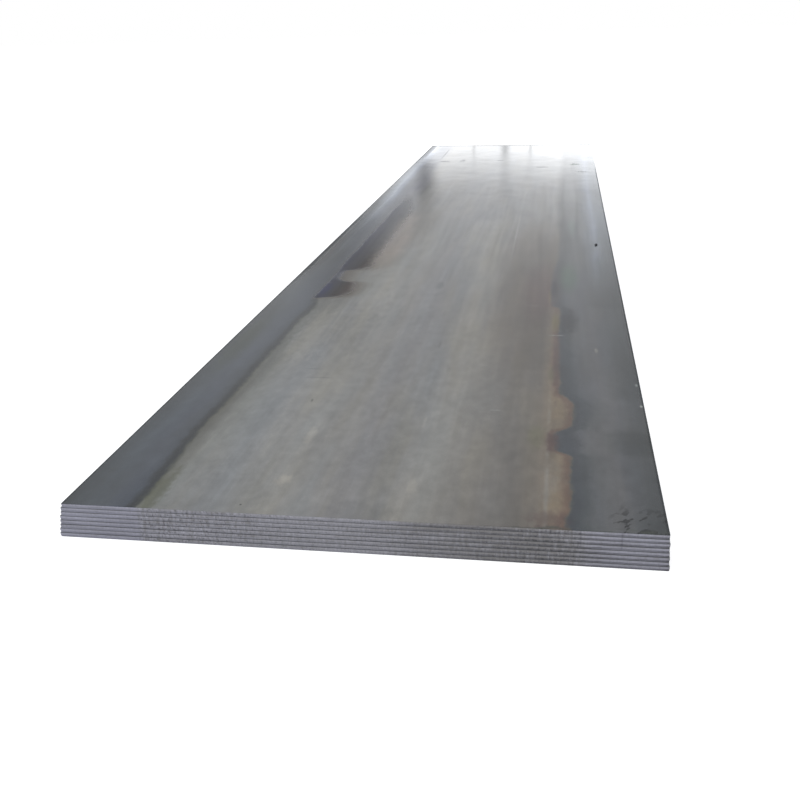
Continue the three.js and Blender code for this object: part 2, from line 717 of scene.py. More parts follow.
@dataclass(frozen=True)
class Lobes:
    """Dark lobes of scale that reach from the left strip into the middle, in a brown halo.

    Attributes:
        border: How far they reach, as (along, across).
        colours: Their colours by distance inwards from the left strip's border.
        share: How strongly they show.
        rise: Distances from that border over which they set in.
        onset: Where along the face they set in.
        spread: Where along the face their edges grow wide and soft.
        end: Where they fade out.
        fray: How far their edges fray.
        softness: Half width of their edges, at the near end and added by the spread.
        inner_softness: How much wider the half of that edge inside the lobe is.
        stretch: Share by which the spread slows the change of colour.
        halo: Colour of the brown shade round them.
        halo_width: Its width, at the near end and added by the spread.
        halo_end: Where it fades out.
        halo_share: How strongly it shows.
        full: Darkness below which they start and above which they are in full colour.
        matt: Darkness at which they begin to be matt and are wholly so.
        matt_kept: Share of the mattness that is kept beyond the near lobe, and share lost.
        matt_turn: Where along the face it is lost.
        matt_end: Where the rest fades out.
    """

    border: tuple[Point, ...] = (
        (0.0, -0.48), (1.58, -0.48), (1.635, -0.372), (1.74, -0.347), (1.82, -0.362),
        (1.87, -0.43), (1.99, -0.438), (2.04, -0.375), (2.15, -0.335), (2.5, -0.335),
        (3.0, -0.32), (3.4, -0.33), (3.8, -0.37), (4.5, -0.43), (6.1, -0.48),
    )
    colours: Stops = (
        (0.0, grey(52, 55, 70)), (0.025, grey(49, 51, 60)), (0.05, grey(48, 45, 45)),
        (0.09, grey(62, 52, 48)),
    )
    share: float = 0.93
    rise: Span = (-0.024, -0.002)
    onset: Span = (1.57, 1.61)
    spread: Span = (1.8, 2.6)
    end: Span = (5.0, 3.0)
    fray: float = 0.035
    softness: Point = (0.02, 0.05)
    inner_softness: float = 1.6
    stretch: float = 0.45
    halo: Colour = grey(88, 79, 67)
    halo_width: Point = (0.09, 0.07)
    halo_end: Span = (3.7, 2.7)
    halo_share: float = 0.9
    full: Span = (0.0, 0.55)
    matt: Span = (0.2, 0.65)
    matt_kept: Point = (0.6, 0.4)
    matt_turn: Span = (3.0, 2.0)
    matt_end: Span = (4.4, 3.7)

    def lay(self, face: Face, colour: Socket, left: Socket) -> tuple[Socket, Socket]:
        """Lays the lobes over the left strip and the middle.

        Args:
            face: Where a point lies on the face.
            colour: The colour so far.
            left: Distance inwards from the left strip's border.

        Returns:
            Output sockets of the colour and of how matt the dark scale is.
        """
        graph = face.graph
        fray = graph.centred(graph.grain(face.place, (45.0, 12.0, 1.0), 4.0))
        beyond = graph.math("SUBTRACT", face.edge, face.border(self.border))
        beyond = graph.add(beyond, (fray, self.fray))
        begun = graph.product(face.fade(self.onset), graph.smooth(left, *self.rise))
        spread = face.fade(self.spread)

        width, wider = self.halo_width
        halo = graph.smooth(beyond, graph.add(width, (spread, wider)), 0.0)
        halo = graph.product(begun, face.fade(self.halo_end), halo, self.halo_share)
        colour = graph.mix(halo, colour, self.halo)

        # The colour darkens sooner than the surface turns matt, so no pale ring shows.
        sharp, softer = self.softness
        soft = graph.add(sharp, (spread, softer))
        dark = graph.smooth(beyond, soft, graph.product(soft, -self.inner_softness))
        dark = graph.product(begun, face.fade(self.end), dark, self.share)
        kept, lost = self.matt_kept
        matt = graph.product(
            dark, graph.smooth(dark, *self.matt), face.fade(self.matt_end),
            graph.add(kept, (face.fade(self.matt_turn), lost)),
        )
        inwards = graph.product(left, graph.add(1.0, (spread, -self.stretch)))
        shade = graph.product(graph.smooth(dark, *self.full), self.share)
        return graph.mix(shade, colour, graph.by_distance(inwards, self.colours)), matt


@dataclass(frozen=True)
class Fringe:
    """The rusty fringe along the inside of the right strip.

    Attributes:
        tan: Colour of its light part.
        rust: Colour of its reddish rim.
        pale: Colour of the faint line inside it.
        onset: Distances across over which it sets in.
        end: Where along the face it fades out.
        patches: How patchy the light part is, and what is taken off that.
        line: Where the faint line runs, as (distance across, half width).
        line_end: Where along the face the line fades out.
        line_patches: Patchiness over which the line shows.
        line_share: How strongly it shows.
        rim: Where the rim runs, as (distance inwards from the border, half width).
        rim_patches: Patchiness over which the rim shows.
        rim_share: How strongly it shows.
    """

    tan: Colour = grey(127, 112, 92)
    rust: Colour = grey(98, 76, 65)
    pale: Colour = grey(134, 131, 125)
    onset: Span = (0.345, 0.4)
    end: Span = (2.3, 1.4)
    patches: Point = (2.0, 0.28)
    line: Point = (0.377, 0.008)
    line_end: Span = (0.8, 0.55)
    line_patches: Span = (0.36, 0.56)
    line_share: float = 0.45
    rim: Point = (0.006, 0.022)
    rim_patches: Span = (0.3, 0.46)
    rim_share: float = 0.8

    def lay(self, face: Face, colour: Socket, right: Socket) -> Socket:
        """Lays the fringe over the middle.

        Args:
            face: Where a point lies on the face.
            colour: The colour so far.
            right: Distance inwards from the right strip's border.

        Returns:
            The colour's output socket.
        """
        graph = face.graph
        patches = graph.grain(face.place, (16.0, 10.0, 1.0), 4.0)
        fade = face.fade(self.end)
        begun = graph.product(graph.smooth(face.across, *self.onset), fade)
        gain, less = self.patches
        amount = graph.add(-less, (patches, gain))
        colour = graph.mix(graph.math("MULTIPLY", begun, amount, clamp=True), colour, self.tan)
        line = graph.product(
            graph.band(face.across, *self.line), face.fade(self.line_end),
            graph.smooth(patches, *self.line_patches), self.line_share,
        )
        colour = graph.mix(line, colour, self.pale)
        rim = graph.product(
            graph.band(right, *self.rim), fade, graph.smooth(patches, *self.rim_patches),
            self.rim_share,
        )
        return graph.mix(rim, colour, self.rust)


@dataclass(frozen=True)
class Rims:
    """Darker, more matt rims of scale along the edges of the open face.

    Attributes:
        colour: Their colour.
        share: How strongly it shows.
        side: Distances from the long edges over which they set in.
        bare_onset: Where along the face the right edge loses its rim.
        bare_across: Distances across over which it does.
        outer: Distances from the left edge over which the wider rim there sets in.
        outer_fray: How far that one frays.
        outer_onset: Where along the face it sets in.
        outer_end: Where it fades out.
        outer_share: How strongly it shows.
        end: Distances from the far end over which the rim there sets in.
        end_share: How strongly it shows.
    """

    colour: Colour = grey(52, 54, 57)
    share: float = 0.4
    side: Span = (0.009, 0.002)
    bare_onset: Span = (4.4, 5.2)
    bare_across: Span = (0.0, 0.1)
    outer: Span = (0.03, 0.006)
    outer_fray: float = 0.03
    outer_onset: Span = (1.6, 2.1)
    outer_end: Span = (3.6, 2.9)
    outer_share: float = 0.85
    end: Span = (0.05, 0.02)
    end_share: float = 0.45

    def amount(self, face: Face) -> Socket:
        """Finds how much of the rims shows.

        Args:
            face: Where a point lies on the face.

        Returns:
            The output socket of that amount, from 0 to 1.
        """
        graph = face.graph
        half = face.width / 2
        start, full = self.side
        side = graph.smooth(graph.math("ABSOLUTE", face.across), half - start, half - full)
        bare = graph.smooth(face.across, *self.bare_across)
        bare = graph.product(bare, face.fade(self.bare_onset))
        side = graph.product(side, graph.math("SUBTRACT", 1.0, bare))
        start, full = self.outer
        frayed = graph.add(face.across, (face.fray, self.outer_fray))
        outer = graph.product(
            graph.smooth(frayed, start - half, full - half), face.fade(self.outer_onset),
            face.fade(self.outer_end), self.outer_share,
        )
        start, full = self.end
        end = face.fade((face.length - start, face.length - full))
        rims = graph.math("MAXIMUM", side, outer)
        return graph.math("MAXIMUM", rims, graph.product(end, self.end_share))


@dataclass(frozen=True)
class Mark:
    """One small mark on the open face.

    Attributes:
        across: Distance from the face's middle.
        along: Distance from its near end.
        half_width: Half of its width.
        half_length: Half of its length.
        colour: Its colour.
        share: How strongly it shows.
        matt: How much roughness it adds.
    """

    across: float
    along: float
    half_width: float
    half_length: float
    colour: Colour
    share: float
    matt: float = 0.0

    def cover(self, face: Face, blur: Socket, brink: Span) -> Socket:
        """Finds where the mark lies.

        Args:
            face: Where a point lies on the face.
            blur: What is added to a point's distance, so that the edge wanders.
            brink: Distances over which the mark sets in, where 1 is its edge.

        Returns:
            The output socket of the mark's cover, from 0 to 1.
        """
        graph = face.graph
        across, along = (
            graph.math("MULTIPLY_ADD", distance, 1 / half, -centre / half)
            for distance, centre, half in (
                (face.across, self.across, self.half_width),
                (face.metres, self.along, self.half_length),
            )
        )
        away = graph.math("SQRT", graph.add(graph.product(along, along), (across, across)))
        return graph.smooth(graph.math("ADD", away, blur), *brink)


SCUFF = grey(156, 152, 143)
SPECK = grey(34, 34, 36)
SCRATCH = grey(150, 149, 147)
NICK = grey(190, 196, 190)
PALE = grey(142, 138, 132)
BAY = grey(80, 62, 60)
BLUSH = grey(134, 120, 108)
STRAW = grey(116, 112, 98)
MOSS = grey(78, 98, 84)
VIOLET = grey(50, 52, 84)
SMUDGE = grey(58, 62, 68)
# Near black: dark patches near the near end, and painted reflection of the window wall's dark
# uprights at the far end.
DARK_PATCH_AND_PAINTED_REFLECTION = grey(34, 36, 44)
WORN = grey(150, 149, 144)
GOLD = grey(106, 96, 58)
MINT = grey(72, 90, 79)
FERN = grey(58, 64, 53)
DULL = grey(84, 85, 66)
OLIVE = grey(92, 92, 72)


@dataclass(frozen=True)
class WearAndPaintedReflection:
    """Marks, scratches and dirt on the open face, and a few dark marks painted as the reflection of
    the window wall's uprights.

    Attributes:
        marks: Scuffs, specks, scratches and patches, a few of them painted reflection, the upper
            ones last.
        blur: How far the marks' edges wander, as a share of their size.
        brink: Distances over which a mark sets in, where 1 is its edge.
        matt: Cover of a mark over which its roughness sets in.
        scratched: Colour of the scratches in the near right corner.
        corner_along: Where along the face that corner sets in.
        corner_across: Distances across over which it does.
        corner_turn: Degrees that the scratches are turned.
        corner_grain: Noise at which they begin and are full.
        dirt: Colour of the dirt on the near edge.
        dirt_along: Where along the face it sets in.
        dirt_across: Distances across over which it does.
        dirt_grain: Noise at which it begins and is full.
        dirt_share: How strongly it shows.
    """

    marks: tuple[Mark, ...] = (
        Mark(-0.18, 0.4, 0.016, 0.07, SCUFF, 0.5), Mark(-0.18, 0.155, 0.02, 0.035, SCUFF, 0.6),
        Mark(0.1, 0.15, 0.014, 0.05, SCUFF, 0.45), Mark(-0.23, 0.62, 0.003, 0.012, SPECK, 0.7),
        Mark(-0.235, 0.035, 0.003, 0.004, SPECK, 0.8),
        Mark(0.546, 2.51, 0.009, 0.045, SPECK, 1.0, 0.8),
        Mark(0.045, 1.1, 0.003, 0.05, SPECK, 0.35),
        Mark(0.244, 0.594, 0.016, 0.003, SCRATCH, 0.6),
        Mark(0.19, 0.93, 0.02, 0.003, SCRATCH, 0.5), Mark(0.08, 0.5, 0.004, 0.05, SCUFF, 0.3),
        Mark(0.39, 1.22, 0.03, 0.006, SCRATCH, 0.6), Mark(0.505, 1.08, 0.006, 0.03, SCUFF, 0.35),
        Mark(-0.235, 1.8, 0.016, 0.32, PALE, 0.35), Mark(-0.04, 1.8, 0.02, 0.07, SMUDGE, 0.3),
        Mark(-0.28, 1.95, 0.09, 0.55, STRAW, 0.5), Mark(-0.31, 2.45, 0.075, 0.5, BLUSH, 0.5),
        Mark(-0.34, 2.95, 0.055, 0.4, BLUSH, 0.4), Mark(-0.592, 2.32, 0.045, 0.5, SPECK, 0.85),
        Mark(-0.605, 5.8, 0.05, 1.0, SMUDGE, 0.5, 0.15),
        Mark(-0.45, 5.57, 0.006, 0.4, SMUDGE, 0.5, 0.12),
        Mark(-0.286, 5.2, 0.03, 0.12, SMUDGE, 0.4, 0.1), Mark(0.33, 1.75, 0.08, 0.5, BAY, 0.65),
        Mark(0.428, 1.38, 0.036, 0.17, DARK_PATCH_AND_PAINTED_REFLECTION, 0.85), Mark(-0.452, 1.72, 0.022, 0.11, VIOLET, 0.5),
        Mark(0.02, 0.02, 0.08, 0.08, SMUDGE, 0.2), Mark(-0.3, 0.0, 0.13, 0.3, SMUDGE, 0.15),
        Mark(0.39, 0.0, 0.05, 0.02, DARK_PATCH_AND_PAINTED_REFLECTION, 0.4), Mark(-0.24, 1.65, 0.08, 0.45, WORN, 0.6),
        Mark(-0.36, 1.2, 0.075, 0.33, WORN, 0.5), Mark(-0.428, 0.07, 0.024, 0.16, DULL, 0.7),
        # The violet mark 4.15 m along on the left is painted reflection of a dark window upright.
        Mark(-0.565, 1.1, 0.04, 0.33, FERN, 0.6), Mark(-0.43, 4.15, 0.055, 0.55, VIOLET, 0.6),
        # The near-black mark 3.4 m along on the left is painted reflection of a dark window
        # upright.
        Mark(-0.37, 3.4, 0.03, 0.2, DARK_PATCH_AND_PAINTED_REFLECTION, 0.4), Mark(0.364, 1.68, 0.005, 0.12, GOLD, 0.5),
        Mark(-0.285, 0.86, 0.03, 0.004, SMUDGE, 0.35),
        Mark(-0.25, 0.79, 0.045, 0.005, SMUDGE, 0.3), Mark(0.31, 1.55, 0.03, 0.004, SCRATCH, 0.4),
        # The near-black mark 3.72 m along on the left is painted reflection of a dark window
        # upright.
        Mark(0.1987, 3.0, 0.004, 0.9, WORN, 0.5), Mark(-0.425, 3.72, 0.055, 0.28, DARK_PATCH_AND_PAINTED_REFLECTION, 0.8),
        Mark(0.376, 1.78, 0.016, 0.17, DARK_PATCH_AND_PAINTED_REFLECTION, 0.9), Mark(0.386, 1.36, 0.016, 0.13, GOLD, 0.75),
        Mark(0.43, 1.95, 0.042, 0.26, MINT, 0.9), Mark(0.445, 2.9, 0.024, 0.25, MINT, 0.7),
        Mark(0.44, 3.6, 0.045, 1.4, SMUDGE, 0.25, 0.05),
        Mark(0.465, 4.75, 0.03, 0.4, SMUDGE, 0.3, 0.08),
        Mark(0.263, 4.88, 0.06, 0.04, SMUDGE, 0.5, 0.15),
        Mark(-0.41, 5.18, 0.055, 0.04, SMUDGE, 0.5, 0.15),
        Mark(-0.03, 5.21, 0.03, 0.03, SMUDGE, 0.4, 0.12),
        Mark(0.52, 4.66, 0.05, 0.05, SMUDGE, 0.5, 0.16),
        Mark(0.48, 5.0, 0.05, 0.06, MOSS, 0.7, 0.16), Mark(0.385, 0.035, 0.05, 0.05, BAY, 0.5),
        Mark(0.35, 0.44, 0.028, 0.09, OLIVE, 0.5), Mark(0.387, 0.415, 0.019, 0.08, BAY, 0.8),
        Mark(0.43, 0.41, 0.03, 0.075, SMUDGE, 0.75), Mark(0.382, 0.87, 0.014, 0.08, OLIVE, 0.6),
        Mark(0.392, 1.0, 0.014, 0.36, BAY, 0.7), Mark(0.384, 0.2, 0.022, 0.12, PALE, 0.2),
        Mark(0.602, 0.65, 0.005, 0.01, NICK, 0.6), Mark(0.6, 0.8, 0.004, 0.012, NICK, 0.35),
    )
    blur: float = 1.2
    brink: Span = (1.7, 0.9)
    matt: Span = (0.3, 0.9)
    scratched: Colour = grey(36, 38, 40)
    corner_along: Span = (0.14, 0.04)
    corner_across: Span = (0.49, 0.53)
    corner_turn: float = 35.0
    corner_grain: Span = (0.53, 0.59)
    dirt: Colour = grey(60, 66, 58)
    dirt_along: Span = (0.02, 0.004)
    dirt_across: Span = (0.2, 0.4)
    dirt_grain: Span = (0.42, 0.6)
    dirt_share: float = 0.7

    def lay(self, face: Face, colour: Socket) -> tuple[Socket, Value]:
        """Lays the marks, scratches, dirt and painted reflections over the face.

        Args:
            face: Where a point lies on the face.
            colour: The colour so far.

        Returns:
            Output sockets of the colour and of the roughness that the marks add.
        """
        graph = face.graph
        rough: Value = 0.0
        blur = graph.product(graph.grain(face.place, (90.0, 40.0, 1.0)), self.blur)
        for mark in self.marks:
            cover = mark.cover(face, blur, self.brink)
            colour = graph.mix(graph.product(cover, mark.share), colour, mark.colour)
            if mark.matt:
                rough = graph.add(rough, (graph.smooth(cover, *self.matt), mark.matt))

        turn = (0.0, 0.0, math.radians(self.corner_turn))
        slanted = graph.node("Mapping", {"Vector": face.place, "Rotation": turn}).outputs[0]
        scratches = graph.product(
            face.fade(self.corner_along), graph.smooth(face.across, *self.corner_across),
            graph.smooth(graph.grain(slanted, (75.0, 28.0, 1.0), 5.0), *self.corner_grain),
        )
        colour = graph.mix(scratches, colour, self.scratched)
        dirt = graph.product(
            graph.smooth(graph.grain(face.place, (22.0, 60.0, 1.0)), *self.dirt_grain),
            graph.smooth(face.across, *self.dirt_across), face.fade(self.dirt_along),
            self.dirt_share,
        )
        return graph.mix(dirt, colour, self.dirt), rough


@dataclass(frozen=True)
class Pattern:
    """One noise over the whole open face, and what it does there.

    Attributes:
        density: Features a metre along X, Y and Z.
        detail: Octaves of finer noise.
        light: How much it adds to the lightness.
        gloss: How much it adds to the roughness.
        relief: How much it adds to the relief, as a multiple of the relief's depth.
    """

    density: tuple[float, float, float]
    detail: float
    light: float = 0.0
    gloss: float = 0.0
    relief: float = 0.0


@dataclass(frozen=True)
class WornTopScale(Finish):
    """The open upper face: a worn warm middle between two darker blue-grey border strips.

    Distances across are measured from the face's middle, and distances along from its near
    end, in metres.

    Attributes:
        middle: X of the face's middle.
        near: Y of the face's near end.
        width: The face's width.
        length: The face's length.
        drift: How far the borders drift.
        fray: How far they fray.
        rubbed: The worn middle.
        left: The left strip.
        right: The right strip.
        lobes: The dark lobes beside the left strip.
        fringe: The rusty fringe beside the right strip.
        rims: The dark rims.
        wear_and_painted_reflection: Marks, scratches, dirt and a few painted reflections.
        seam: Colour of the dark line along the inside of the left strip.
        seam_place: Where the line runs, as (distance inwards from the border, half width).
        seam_end: Where along the face it fades out.
        seam_share: How strongly it shows.
        broad: Broad bands along the rolling direction.
        streaks: Fine streaks along it.
        clouds: Cloudy patches.
        mottle: Small blotches.
        waves: Slow waves of the face.
        lightness: Lightness of the whole face before the patterns add theirs.
        mottled: How much the blotches add to it, everywhere and on top of that near the near end.
        mottled_end: Where along the face the second amount fades out.
        lines: Noise of the fine light lines.
        line_level: Where in that noise they run, as (noise, half width).
        line_clouds: Cloudiness over which they show.
        tinge: Noise by which the whole face drifts through slight tints.
        tinges: Those tints, as (noise, tint).
        gloss: Roughness before the patterns add theirs.
        gloss_turn: Where along the face part of all that roughness is lost.
        gloss_lost: The share of it that is lost.
        dark_gloss: Roughness that the lobes' dark scale adds.
        rim_gloss: Roughness that the rims add.
        relief_depth: Depth of the relief.
        relief_strength: How strongly it shows.
    """

    name: str = "worn_top_scale"
    middle: float = 0.0
    near: float = 0.0
    width: float = 1.2
    length: float = 6.0
    drift: float = 0.03
    fray: float = 0.02
    rubbed: Middle = Middle()
    left: Strip = LEFT_STRIP
    right: Strip = RIGHT_STRIP
    lobes: Lobes = Lobes()
    fringe: Fringe = Fringe()
    rims: Rims = Rims()
    wear_and_painted_reflection: WearAndPaintedReflection = WearAndPaintedReflection()
    seam: Colour = grey(32, 36, 40)
    seam_place: Point = (-0.007, 0.019)
    seam_end: Span = (1.75, 1.5)
    seam_share: float = 0.95
    broad: Pattern = Pattern((15.0, 1.0, 1.0), 4.0, light=0.42, gloss=0.1)
    streaks: Pattern = Pattern((62.0, 1.7, 1.0), 4.0, light=0.24, gloss=0.1, relief=1.0)
    clouds: Pattern = Pattern((8.0, 4.5, 1.0), 4.0, light=0.38)
    mottle: Pattern = Pattern((36.0, 20.0, 1.0), 5.0, relief=0.5)
    waves: Pattern = Pattern((4.5, 3.0, 1.0), 2.0, relief=50.0)
    lightness: float = 0.48
    mottled: Point = (0.35, 0.17)
    mottled_end: Span = (1.2, 0.5)
    lines: Pattern = Pattern((24.0, 0.5, 1.0), 2.0, light=0.05)
    line_level: Point = (0.5, 0.008)
    line_clouds: Span = (0.48, 0.56)
    tinge: Pattern = Pattern((11.0, 1.4, 1.0), 4.0)
    tinges: Stops = (
        (0.36, (0.97, 1.0, 1.03)), (0.5, (1.0, 1.0, 1.0)), (0.64, (1.03, 1.01, 0.95)),
    )
    gloss: float = 0.07
    gloss_turn: Span = (2.4, 4.8)
    gloss_lost: float = 0.65
    dark_gloss: float = 0.38
    rim_gloss: float = 0.4
    relief_depth: float = 0.00004
    relief_strength: float = 0.25

    def surface(self, graph: NodeGraph, place: Socket) -> tuple[Socket, Socket, Socket]:
        """Lays out the middle, then what lies over it, and last the patterns of the whole face.

        Args:
            graph: The material's graph.
            place: Object coordinates in metres.

        Returns:
            Output sockets of the colour, the roughness and the normal.
        """
        face = self.face(graph, place)
        left, right = self.left.inwards(face), self.right.inwards(face)
        colour = self.left.lay(face, self.rubbed.colour(face), left)
        colour, dark = self.lobes.lay(face, colour, left)
        seam = graph.product(
            graph.band(left, *self.seam_place), face.fade(self.seam_end), self.seam_share
        )
        colour = graph.mix(seam, colour, self.seam)
        colour = self.fringe.lay(face, colour, right)
        colour = self.right.lay(face, colour, right)
        colour, rough = self.wear_and_painted_reflection.lay(face, colour)
        rims = self.rims.amount(face)
        colour = graph.mix(graph.product(rims, self.rims.share), colour, self.rims.colour)

        broad, streaks, clouds, mottle, waves, lines, tinge = (
            graph.grain(place, pattern.density, pattern.detail) for pattern in (
                self.broad, self.streaks, self.clouds, self.mottle, self.waves, self.lines,
                self.tinge,
            )
        )
        everywhere, nearby = self.mottled
        mottled = graph.add(everywhere, (face.fade(self.mottled_end), nearby))
        lines = graph.band(lines, *self.line_level)
        lines = graph.product(lines, graph.smooth(clouds, *self.line_clouds))
        light = graph.add(
            self.lightness, (graph.centred(mottle), mottled), (broad, self.broad.light),
            (streaks, self.streaks.light), (clouds, self.clouds.light), (lines, self.lines.light),
        )
        tint = graph.ramp(tinge, self.tinges)
        colour = graph.mix(1.0, graph.scaled(colour, light), tint, "MULTIPLY")

        gloss = graph.add(self.gloss, (broad, self.broad.gloss), (streaks, self.streaks.gloss))
        kept = graph.add(1.0, (face.fade(self.gloss_turn), -self.gloss_lost))
        gloss = graph.product(gloss, kept)
        gloss = graph.add(gloss, (dark, self.dark_gloss), (rims, self.rim_gloss))
        relief = graph.add(
            0.0, (streaks, self.streaks.relief), (mottle, self.mottle.relief),
            (waves, self.waves.relief),
        )
        normal = graph.bump(relief, self.relief_depth, self.relief_strength)
        return colour, graph.math("ADD", rough, gloss), normal

    def face(self, graph: NodeGraph, place: Socket) -> Face:
        """Measures where a point lies on the face.

        Args:
            graph: The material's graph.
            place: Object coordinates in metres.

        Returns:
            The point's place as sockets.
        """
        axes = graph.node("SeparateXYZ", {0: place}).outputs
        across = graph.math("SUBTRACT", axes[0], self.middle)
        drift = graph.centred(graph.grain(place, (9.0, 3.0, 1.0)))
        fray = graph.centred(graph.grain(place, (70.0, 30.0, 1.0)))
        return Face(
            graph=graph, place=place, width=self.width, length=self.length, across=across,
            metres=graph.math("SUBTRACT", axes[1], self.near), fray=fray,
            edge=graph.add(across, (drift, self.drift), (fray, self.fray)),
        )


class Skin(Enum):
    """The parts of a plate's skin, by the number of their material slot."""

    ROLLED = 0
    LAND = 1
    TORN = 2


@dataclass
class Plate:
    """One plate, refined from its solid so that its cut edge and faces carry real relief.

    Attributes:
        node: Name of the solid.
        slot: Name of a finish slot; not used.
        finishes: Material of each part of the skin.
        end_step: Spacing of points along the short edges.
        side_step: Spacing of points along the long edges.
        face_step: Spacing of points over the upper face.
        torn_rows: Rows of points added in the torn part.
        land_rows: Rows of points added in the land.
        tear_depth: Most that the torn part is eaten in.
        tear_grain: Features a metre of the noise that eats it in.
        tear_cover: What is added to that noise, so that most of the torn part is eaten in.
        tear_wander: Most that the border between land and torn part leaves its level.
        wander_grain: Features a metre of that border's noise.
        wander_shift: Height in the noise by which that one differs from the other.
        border_reach: Share of the torn part's height within which a point is on its border.
        least_outward: Level part of the normal below which a point isn't moved.
        wave: Depth of the rolled face's waves.
        wave_grain: Waves a metre across and along the plate.
        wave_shift: Steps through the noise for a metre of height, so that plates differ.
        hem: Width of the narrow flat hem between the upper face and its rolled-over corner.
        long_edge: Length above which an edge of the solid runs along a whole side or end.
        straight: Degrees of bend below which two faces of the solid are taken as one.
        level: Upright part of the normal above which a face of the solid is level.
        nearly_level: The same for a face of the finished plate.
        merge: Distance within which points are taken as one.
        foot: Level of the underside.
        torn_top: Level where the torn part ends.
        land_top: Level where the land ends.
        top: Level of the upper face.
    """

    node: str
    slot: str
    finishes: dict[Skin, bpy.types.Material]
    end_step: float = 0.003
    side_step: float = 0.009
    face_step: float = 0.15
    torn_rows: int = 3
    land_rows: int = 1
    tear_depth: float = 0.0006
    tear_grain: float = 130.0
    tear_cover: float = 0.35
    tear_wander: float = 0.0009
    wander_grain: float = 60.0
    wander_shift: float = 7.0
    border_reach: float = 0.05
    least_outward: float = 0.3
    wave: float = 0.0003
    wave_grain: Point = (1.3, 0.8)
    wave_shift: float = 900.0
    hem: float = 0.0008
    long_edge: float = 0.5
    straight: float = 0.3
    level: float = 0.999
    nearly_level: float = 0.99
    merge: float = 0.00001
    foot: float = field(init=False)
    torn_top: float = field(init=False)
    land_top: float = field(init=False)
    top: float = field(init=False)

    def __post_init__(self) -> None:
        """Reads the plate's levels off its solid."""
        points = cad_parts[self.node].data.vertices
        levels = sorted({round(point.co.z, 6) for point in points})
        self.foot, self.torn_top, self.land_top = levels[:3]
        self.top = levels[-1]

    def build(self) -> bpy.types.Object:
        """Makes the refined plate and hangs it in the frame.

        Returns:
            The plate's object.
        """
        plate = bmesh.new()
        self.take_outline(plate)
        self.add_rows(plate)
        self.add_columns(plate)
        rims = [edge for edge in plate.edges if edge.is_boundary]
        bmesh.ops.holes_fill(plate, edges=rims, sides=0)
        bmesh.ops.recalc_face_normals(plate, faces=plate.faces)
        self.cut_face(plate)
        self.tear_edge(plate)
        self.wave_face(plate)
        self.dress(plate)

        mesh = bpy.data.meshes.new(f"{self.node}_skin")
        plate.to_mesh(mesh)
        plate.free()
        for skin in Skin:
            mesh.materials.append(self.finishes[skin])
        piece = bpy.data.objects.new(f"{self.node}_skin", mesh)
        bpy.context.scene.collection.objects.link(piece)
        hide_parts(self.node)
        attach(piece, "root")
        log.info("%s: %d faces", piece.name, len(mesh.polygons))
        return piece

    def take_outline(self, plate: bmesh.types.BMesh) -> None:
        """Takes the solid's sides and leaves its two level faces out.

        Args:
            plate: The empty mesh to fill.
        """
        plate.from_mesh(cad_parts[self.node].data)
        bmesh.ops.remove_doubles(plate, verts=plate.verts, dist=self.merge)
        bmesh.ops.dissolve_limit(
            plate, angle_limit=math.radians(self.straight), verts=plate.verts, edges=plate.edges
        )
        flats = [face for face in plate.faces if abs(face.normal.z) > self.level]
        bmesh.ops.delete(plate, geom=flats, context="FACES_ONLY")

    def add_rows(self, plate: bmesh.types.BMesh) -> None:
        """Adds level rows of points to the torn part and the land.

        Args:
            plate: The mesh being shaped.
        """
        for low, high, rows in (
            (self.foot, self.torn_top, self.torn_rows),
            (self.torn_top, self.land_top, self.land_rows),
        ):
            upright = [
                edge for edge in plate.edges
                if all(self.at_level(vertex, low, high) for vertex in edge.verts)
                and abs(edge.verts[0].co.z - edge.verts[1].co.z) > self.merge
            ]
            bmesh.ops.subdivide_edges(plate, edges=upright, cuts=rows, use_grid_fill=True)

    def at_level(self, vertex: bmesh.types.BMVert, *levels: float) -> bool:
        """True if the point is at one of these levels."""
        return any(abs(vertex.co.z - level) < self.merge for level in levels)

    def add_columns(self, plate: bmesh.types.BMesh) -> None:
        """Divides the long edges of every row, the sides and the ends each at their own step.

        Args:
            plate: The mesh being shaped.
        """
        for step, direction in ((self.side_step, 1), (self.end_step, 0)):
            runs = [
                edge for edge in plate.edges
                if abs(edge.verts[0].co[direction] - edge.verts[1].co[direction]) > self.long_edge
            ]
            cuts = round(runs[0].calc_length() / step) - 1
            bmesh.ops.subdivide_edges(plate, edges=runs, cuts=cuts, use_grid_fill=True)

    def cut_face(self, plate: bmesh.types.BMesh) -> None:
        """Hems the upper face and cuts the rest into a coarse net that can carry waves.

        Args:
            plate: The mesh being shaped.
        """
        low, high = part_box(self.node)
        top = max(plate.faces, key=lambda face: face.calc_center_median().z)
        bmesh.ops.inset_region(plate, faces=[top], thickness=self.hem, use_even_offset=True)
        geometry = [top, *top.edges, *top.verts]
        for direction in (0, 1):
            normal = Vector((0, 0, 0))
            normal[direction] = 1
            count = round((high[direction] - low[direction]) / self.face_step)
            for cut in range(1, count):
                geometry = bmesh.ops.bisect_plane(
                    plate, geom=geometry, dist=self.end_step / 2,
                    plane_co=low.lerp(high, cut / count), plane_no=normal,
                )["geom"]

    def tear_edge(self, plate: bmesh.types.BMesh) -> None:
        """Eats into the torn part and lets its border with the land wander.

        Args:
            plate: The mesh being shaped.
        """
        plate.normal_update()
        moves = []
        for vertex in plate.verts:
            outward = Vector((vertex.normal.x, vertex.normal.y, 0))
            # Points of the rolled faces and of the land's upper border stay where they are.
            still = outward.length < self.least_outward
            if still or vertex.co.z > self.land_top - self.merge:
                continue
